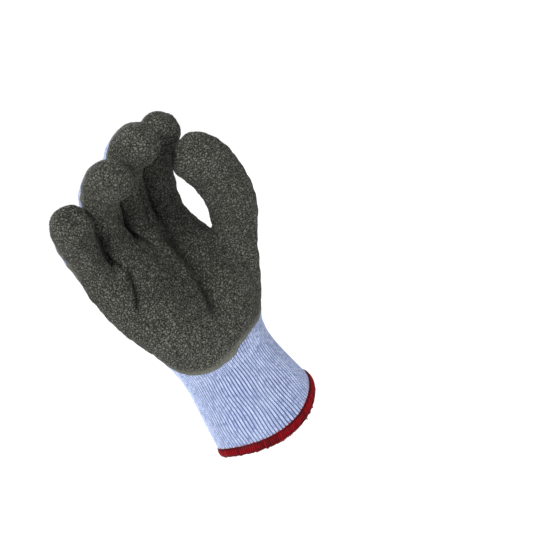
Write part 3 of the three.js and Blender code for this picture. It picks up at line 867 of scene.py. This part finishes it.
# One point for each stitch of a piece, with its turn and size. On the inside they lie on the
# liner's inner face and look inwards, from the mouth up.
def stitchPoints(quads, widthShare, inside):
    rows = []
    for quad in quads:
        courses = max(2, round(spans[quad][1] / knit["coursePitch"]))
        wales = knit["walesPerColumn"]
        high, wide = (np.arange(courses) + 0.5) / courses, (np.arange(wales) + 0.5) / wales
        v, u = np.meshgrid(high, wide, indexing="ij")
        middle = probe(quad, u, v)
        across = probe(quad, u + 0.5 / wales, v)[..., :3] - probe(quad, u - 0.5 / wales, v)[..., :3]
        along = probe(quad, u, v + 0.5 / courses)[..., :3] - probe(quad, u, v - 0.5 / courses)[..., :3]
        # The first 7 are the surface's columns, and across and along follow them.
        rows.append(np.concatenate([middle[..., :7], across, along], axis=-1).reshape(-1, 13))
    rows = np.concatenate(rows)
    rows = rows[rows[:, 2] < knit["insideTop"]] if inside else rows[rows[:, 6] < knit["underLatex"]]
    out, across, along = rows[:, 3:6], rows[:, 7:10], rows[:, 10:13]
    places = rows[:, :3] - out * (liner["wall"] if inside else 0)
    out = -out if inside else out
    along = along - out * (along * out).sum(axis=1, keepdims=True)
    width, height = np.linalg.norm(across, axis=1) * widthShare, np.linalg.norm(along, axis=1)
    x, z = rows[:, 0], rows[:, 2]
    sway = knit["sway"] * sum(np.sin(z * up + x * aside + shift) for up, aside, shift in knit["swayWaves"])
    return {
        "place": places + unit(across) * sway[:, None],
        "out": out,
        "along": unit(along),
        "size": np.stack([width, height, np.full(len(rows), knit["depth"])], axis=1),
    }


rng = np.random.default_rng(knit["seed"])
stitch = stitchTree()


def addStitches(name, quads, widthShare, inside=False):
    found = stitchPoints(quads, widthShare, inside)
    tones = rng.normal(knit["tone"], knit["toneSpread"], len(found["place"]))
    attributes = {"out": found["out"], "along": found["along"], "size": found["size"] * metre,
                  "tone": np.clip(tones, 0, knit["toneLimit"])}
    piece = makeObject(name, found["place"], [], None, attributes)
    applyTree(piece, stitch, {"Material": yarn})
    print(name, len(found["place"]), "stitches", len(piece.data.polygons) * 2, "triangles")
    return piece


def linerWall(name, quads):
    points, faces = sampled(quads, liner["spacing"])
    outer = points[:, :3] - points[:, 3:6] * liner["groundDepth"]
    inner = points[:, :3] - points[:, 3:6] * liner["wall"]
    count = len(points)
    rim = rimEdges(faces)
    strip = np.stack([rim[:, 1], rim[:, 0], rim[:, 0] + count, rim[:, 1] + count], axis=1)
    every = np.concatenate([faces, faces[:, ::-1] + count, strip])
    tone = np.concatenate([np.full(count, liner["outerShadeTone"]), np.full(count, liner["innerTone"])])
    return makeObject(name, np.concatenate([outer, inner]), every, shadedGround, {"tone": tone})


def finishPiece(piece, slotName, *nodes):
    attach(piece, "root")
    if nodes:
        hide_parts(*nodes)


# Each knitted piece's CAD node and its stitches' width as a share of their column.
knitPieces = {
    "cuff": ("rib_cuff", 0.74),
    "heel": ("knit_heel", 0.84),
    "palm": ("knit_palm", 0.92),
    "back": ("knit_back", 0.92),
    "little": ("knit_little_finger", 0.92),
    "ring": ("knit_ring_finger", 0.92),
    "middle": ("knit_middle_finger", 0.92),
    "index": ("knit_index_finger", 0.92),
    "thumb": ("knit_thumb", 0.92),
}
for part, (node, width) in knitPieces.items():
    finishPiece(linerWall("liner_" + part, pieceQuads[part]), "knit", node)
    finishPiece(addStitches("stitches_" + part, pieceQuads[part], width), "knit")
mouthStitches = addStitches("stitches_in_the_mouth", pieceQuads["cuff"], knitPieces["cuff"][1], inside=True)
finishPiece(mouthStitches, "knit")
print("liner made")


# The latex skin: the surface where it lies under the coating, cut along its edge. Each wave of
# the edge has its lengths along x, y and z, a shift and a share.
skin = {
    "spacing": 0.8,
    "gap": 0.3,
    "wall": 1.0,
    "edge": 0.5,
    "fade": 9,
    "wander": 0.32,
    "waves": [(0.42, 0.3, 0, 0, 1), (0, -0.35, 0.5, 1.7, 1), (0.9, 0, -0.8, 0, 0.5)],
    "margin": 1,
    "edgeCrinkle": 0.25,
    "smoothBand": 7,
    "lip": 0.9,
}


# The depth under the latex, with a rim that wanders a little.
def wanderingCoat(points):
    waves = sum(np.sin(points[:, :3] @ wave[:3] + wave[3]) * wave[4] for wave in skin["waves"])
    return points[:, 6] + waves * skin["wander"]


def clippedSkin():
    quads = [i for i in range(len(cageQuads)) if surface[grids[i], 6].max() > -skin["margin"]]
    points, faces = sampled(quads, skin["spacing"])
    points[:, 6] = wanderingCoat(points)
    inside = points[:, 6] > 0
    whole = faces[inside[faces].all(axis=1)]
    partly = faces[inside[faces].any(axis=1) & ~inside[faces].all(axis=1)]
    extra, cuts, polygons = [], {}, []
    for face in partly:
        outline = []
        for start, end in zip(face, np.roll(face, -1)):
            if inside[start]:
                outline.append(int(start))
            if inside[start] != inside[end]:
                key = (min(start, end), max(start, end))
                if key not in cuts:
                    share = points[key[0], 6] / (points[key[0], 6] - points[key[1], 6])
                    cuts[key] = len(points) + len(extra)
                    extra.append(points[key[0]] * (1 - share) + points[key[1]] * share)
                outline.append(cuts[key])
        if len(outline) > 2:
            polygons.append(outline)
    points = np.concatenate([points, np.array(extra)])
    used = np.unique(np.concatenate([whole.ravel(), np.concatenate(polygons)]))
    renumber = np.full(len(points), -1)
    renumber[used] = np.arange(len(used))
    every = renumber[whole].tolist() + [renumber[polygon].tolist() for polygon in polygons]
    return points[used], every


# The sides of faces that only one face has.
def skinRim(faces):
    seen = {}
    for face in faces:
        for start, end in zip(face, face[1:] + face[:1]):
            seen[(start, end)] = True
    return [(start, end) for start, end in seen if (end, start) not in seen]


# Presses the creases into the skin, as deep as the crinkle attribute says.
def crinkleTree():
    tree, groupIn, groupOut = newTree("crinkle", {
        "Depth": crinkle["relief"] * metre,
        "Scale": crinkle["scale"],
        "Material": None,
    })
    place = tree.nodes.new("GeometryNodeInputPosition").outputs[0]
    height = creaseHeight(tree, place, groupIn.outputs["Scale"])
    share = addNode(tree, "GeometryNodeInputNamedAttribute", {"data_type": "FLOAT"}, Name="crinkle")
    rise = maths(tree, "SUBTRACT", height, crinkle["level"])
    for factor in (groupIn.outputs["Depth"], share.outputs["Attribute"]):
        rise = maths(tree, "MULTIPLY", rise, factor)
    normal = tree.nodes.new("GeometryNodeInputNormal").outputs[0]
    moved = addNode(tree, "GeometryNodeSetPosition", Geometry=groupIn.outputs["Geometry"],
                    Offset=vectorMaths(tree, "SCALE", i0=normal, Scale=rise))
    paint(tree, groupIn, groupOut, moved.outputs[0])
    return tree


skinPoints, skinFaces = clippedSkin()
thickness = lerp(skin["edge"], skin["wall"], smoothstep(skinPoints[:, 6], 0, skin["fade"]))
skinTop = skinPoints[:, :3] + skinPoints[:, 3:6] * (skin["gap"] + thickness)[:, None]
rim = skinRim(skinFaces)
rimStarts = {start: len(skinTop) + i for i, (start, _) in enumerate(rim)}
below = [start for start, _ in rim]
skinLow = skinTop[below] - skinPoints[below, 3:6] * skin["lip"]
lipFaces = [[end, start, rimStarts[start], rimStarts[end]] for start, end in rim if end in rimStarts]
crinkled = lerp(skin["edgeCrinkle"], 1, smoothstep(skinPoints[:, 6], 0, skin["smoothBand"]))
latexSkin = makeObject(
    "latex_skin",
    np.concatenate([skinTop, skinLow]),
    skinFaces + lipFaces,
    None,
    {
        "crinkle": np.concatenate([crinkled, np.zeros(len(below))]),
        "shadeMask": np.concatenate([skinPoints[:, 7], skinPoints[below, 7]]),
    },
)
applyTree(latexSkin, crinkleTree(), {"Material": latex})
finishPiece(latexSkin, "latex", "latex_coating")
print("latex", sum(len(polygon.vertices) - 2 for polygon in latexSkin.data.polygons), "triangles")


# The overlocked hem: a crimson band over the cuff's edge, wrapped in thread. The band keeps
# inside the threads by its shares of their height and depth.
hem = {
    "height": 6,
    "wall": 1.2,
    "gap": 0.3,
    "steps": 16,
    "bandHeight": 0.92,
    "bandWall": 0.8,
    "bandDrop": 0.75,
    # Painted shade: the band's tone is almost the darkest thread colour, for the shade between the wraps.
    "bandShade": 0.02,
    "wrapPitch": 1.5,
    "wrapRadius": 0.52,
    "wrapTuck": 0.6,
    "slant": 1.3,
    "wrapTone": 0.66,
    "wrapToneSpread": 0.26,
    "wrapToneLeast": 0.05,
    "wrapSizeSpread": (0.03, 0.07, 0.05),
    "seed": 11,
}


# Places along the cuff's edge: place 0 to 2, normal 3 to 5 and the way up the cuff 6 to 8.
def hemLine(samples):
    found = []
    for quad in pieceQuads["cuff"][:columns]:
        share = np.arange(samples) / samples
        edge = probe(quad, share, np.zeros(samples))
        above = probe(quad, share, np.full(samples, 1 / patch))
        found.append(np.concatenate([edge[:, :6], unit(above[:, :3] - edge[:, :3])], axis=1))
    return np.concatenate(found)


def hemBand():
    line = hemLine(hem["steps"])
    outer, inner = hem["gap"], -liner["wall"] - hem["gap"]
    wall, up = hem["wall"] * hem["bandWall"], hem["height"] * hem["bandHeight"]
    down = -hem["gap"] - hem["wall"] * hem["bandDrop"]
    shoulder, flank, keel = 0.7, 0.8, 0.4  # shares of the wall and the height where its corners round off
    section = [
        (outer, up), (outer + wall * shoulder, up), (outer + wall, up * flank), (outer + wall, 0),
        (outer + wall * keel, down * flank), ((outer + inner) / 2, down),
        (inner - wall * keel, down * flank), (inner - wall, 0), (inner - wall, up * flank),
        (inner - wall * shoulder, up), (inner, up), (inner, -hem["gap"]), (outer, -hem["gap"]),
    ]
    rings = [line[:, :3] + line[:, 3:6] * out + line[:, 6:9] * rise for out, rise in section]
    points = np.stack(rings, axis=1).reshape(-1, 3)
    sides, count = len(section), len(line)
    faces = []
    for i in range(count):
        for k in range(sides):
            here, there = i * sides, (i + 1) % count * sides
            after = (k + 1) % sides
            faces.append((here + k, here + after, there + after, there + k))
    # Its colour is the hem thread toned almost to its darkest: painted shade between the wraps, over the
    # thread's crimson.
    return makeObject("hem_band", points, faces, hemThread, {"tone": np.full(len(points), hem["bandShade"])})


# One turn of thread round the hem, drawn out sideways by its slant.
def wrapTree():
    tree, groupIn, groupOut = newTree("overlock wrap", {
        "Thread Radius": 0.0006,
        "Half Height": 0.0036,
        "Half Depth": 0.002,
        "Slant": 0.0012,
        "Around": 14,
        "Sides": 6,
        "Material": None,
    })
    given = groupIn.outputs
    loop = addNode(tree, "GeometryNodeCurvePrimitiveCircle", Resolution=given["Around"], Radius=1.0)
    place = tree.nodes.new("GeometryNodeInputPosition").outputs[0]
    parts = addNode(tree, "ShaderNodeSeparateXYZ", Vector=place)
    depth = maths(tree, "MULTIPLY", parts.outputs[0], given["Half Depth"])
    height = maths(tree, "MULTIPLY", parts.outputs[1], given["Half Height"])
    side = maths(tree, "MULTIPLY", parts.outputs[1], parts.outputs[0])
    side = maths(tree, "MULTIPLY", side, given["Slant"])
    shaped = addNode(tree, "GeometryNodeSetPosition", Geometry=loop.outputs[0],
                     Position=vector(tree, side, height, depth))
    thread = tube(tree, shaped.outputs[0], given["Sides"], given["Thread Radius"])
    placeOnPoints(tree, groupIn, groupOut, thread)
    return tree


def alongHem(pitch):
    line = hemLine(hem["steps"])
    closed = np.concatenate([line, line[:1]])
    walked = np.concatenate([[0], np.cumsum(np.linalg.norm(np.diff(closed[:, :3], axis=0), axis=1))])
    count = round(walked[-1] / pitch)
    places = np.arange(count) / count * walked[-1]
    return np.stack([np.interp(places, walked, closed[:, k]) for k in range(closed.shape[1])], axis=1)


hemRandom = np.random.default_rng(hem["seed"])
finishPiece(hemBand(), "hem_thread", "hem_binding")
wraps = alongHem(hem["wrapPitch"])
halfHeight = (hem["height"] + hem["gap"] + hem["wall"]) / 2
wrapCentres = wraps[:, :3] - wraps[:, 3:6] * liner["wall"] / 2 + wraps[:, 6:9] * (hem["height"] - halfHeight)
wrapTones = hemRandom.normal(hem["wrapTone"], hem["wrapToneSpread"], len(wraps))
wrapSize = 1 + hemRandom.normal(0, hem["wrapSizeSpread"], (len(wraps), 3))
hemWraps = makeObject("hem_wraps", wrapCentres, [], None, {
    "out": wraps[:, 3:6], "along": wraps[:, 6:9], "size": wrapSize,
    "tone": np.clip(wrapTones, hem["wrapToneLeast"], 1),
})
applyTree(hemWraps, wrapTree(), {
    "Thread Radius": hem["wrapRadius"] * metre,
    "Half Height": (halfHeight - hem["wrapRadius"] * hem["wrapTuck"]) * metre,
    "Half Depth": (liner["wall"] / 2 + hem["gap"] + hem["wall"] * hem["bandDrop"]) * metre,
    "Slant": hem["slant"] * metre,
    "Material": hemThread,
})
finishPiece(hemWraps, "hem_thread")
print("hem made")


# The stage and the camera at the photograph's angle.
stage = {
    "floorDrop": 400,
    "floorRadius": 9000,
    "floorColour": (0.93, 0.93, 0.93, 1),
}
floorMaterial, _, floorShader = newMaterial("studio floor", 0.9)
floorShader.inputs["Base Color"].default_value = stage["floorColour"]
floorHeight = cadBounds[0][2] - stage["floorDrop"] * metre
reach = stage["floorRadius"]
floorCorners = [(x * reach, y * reach, floorHeight / metre) for x, y in ((-1, -1), (1, -1), (1, 1), (-1, 1))]
floor = makeObject("floor", floorCorners, [(0, 1, 2, 3)], floorMaterial)

view = {
    "azimuth": -28,
    "elevation": 8,
    "roll": 32,
    "distance": 750,
    "lens": 71,
    "sensor": 36,
    "target": (0, -10, 116),
    "targetPixel": (191, 282),
    "imageSize": 550,
}


def addCamera():
    azimuth, elevation, roll = (math.radians(view[key]) for key in ("azimuth", "elevation", "roll"))
    flat = math.cos(elevation)
    towards = Vector((math.sin(azimuth) * flat, -math.cos(azimuth) * flat, math.sin(elevation)))
    right = (-towards).cross(Vector((0, 0, 1))).normalized()
    up = right.cross(-towards)
    across = right * math.cos(roll) - up * math.sin(roll)
    upright = right * math.sin(roll) + up * math.cos(roll)
    focal = view["lens"] / view["sensor"] * view["imageSize"]
    middle = view["imageSize"] / 2
    offX, offY = (view["targetPixel"][0] - middle) / focal, -(view["targetPixel"][1] - middle) / focal
    target = Vector(view["target"])
    place = target + towards * view["distance"]
    aim = target - across * offX * view["distance"] - upright * offY * view["distance"]
    gaze = (aim - place).normalized()
    across = (across - gaze * across.dot(gaze)).normalized()
    upright = across.cross(gaze)
    data = bpy.data.cameras.new("camera")
    data.lens = view["lens"]
    data.sensor_width = view["sensor"]
    data.clip_start = 0.01
    data.clip_end = 100
    camera = bpy.data.objects.new("camera", data)
    turn = Matrix((across, upright, -gaze)).transposed().to_4x4()
    camera.matrix_world = Matrix.Translation(place * metre) @ turn
    bpy.context.scene.collection.objects.link(camera)
    bpy.context.scene.camera = camera


addCamera()

# Soft suns round the glove: the way each one comes from, its softness in degrees and strength.
lamps = {
    "key": {"from": (-0.85, -0.62, 0.7), "softness": 25, "strength": 3.8},
    "fill": {"from": (0.7, -0.7, 0.4), "softness": 70, "strength": 0.6},
    "back": {"from": (0.4, 0.9, 0.6), "softness": 60, "strength": 1.6},
}
for name, lamp in lamps.items():
    data = bpy.data.lights.new(name, "SUN")
    data.angle = math.radians(lamp["softness"])
    data.energy = lamp["strength"]
    light = bpy.data.objects.new(name, data)
    light.matrix_world = (-Vector(lamp["from"])).to_track_quat("-Z", "Y").to_matrix().to_4x4()
    bpy.context.scene.collection.objects.link(light)

# The backdrop shines pure white to the camera and more softly on the glove.
backdrop = {
    "shown": 1.0,
    "lighting": 0.25,
}
world = bpy.data.worlds.new("studio")
world.use_nodes = True
worldTree = world.node_tree
seen = addNode(worldTree, "ShaderNodeLightPath").outputs["Is Camera Ray"]
glow = maths(worldTree, "MULTIPLY_ADD", seen, backdrop["shown"] - backdrop["lighting"], backdrop["lighting"])
worldTree.nodes["Background"].inputs["Color"].default_value = (1, 1, 1, 1)
worldTree.links.new(glow, worldTree.nodes["Background"].inputs["Strength"])
bpy.context.scene.world = world
bpy.context.scene.view_settings.view_transform = "Standard"
print("stage made")
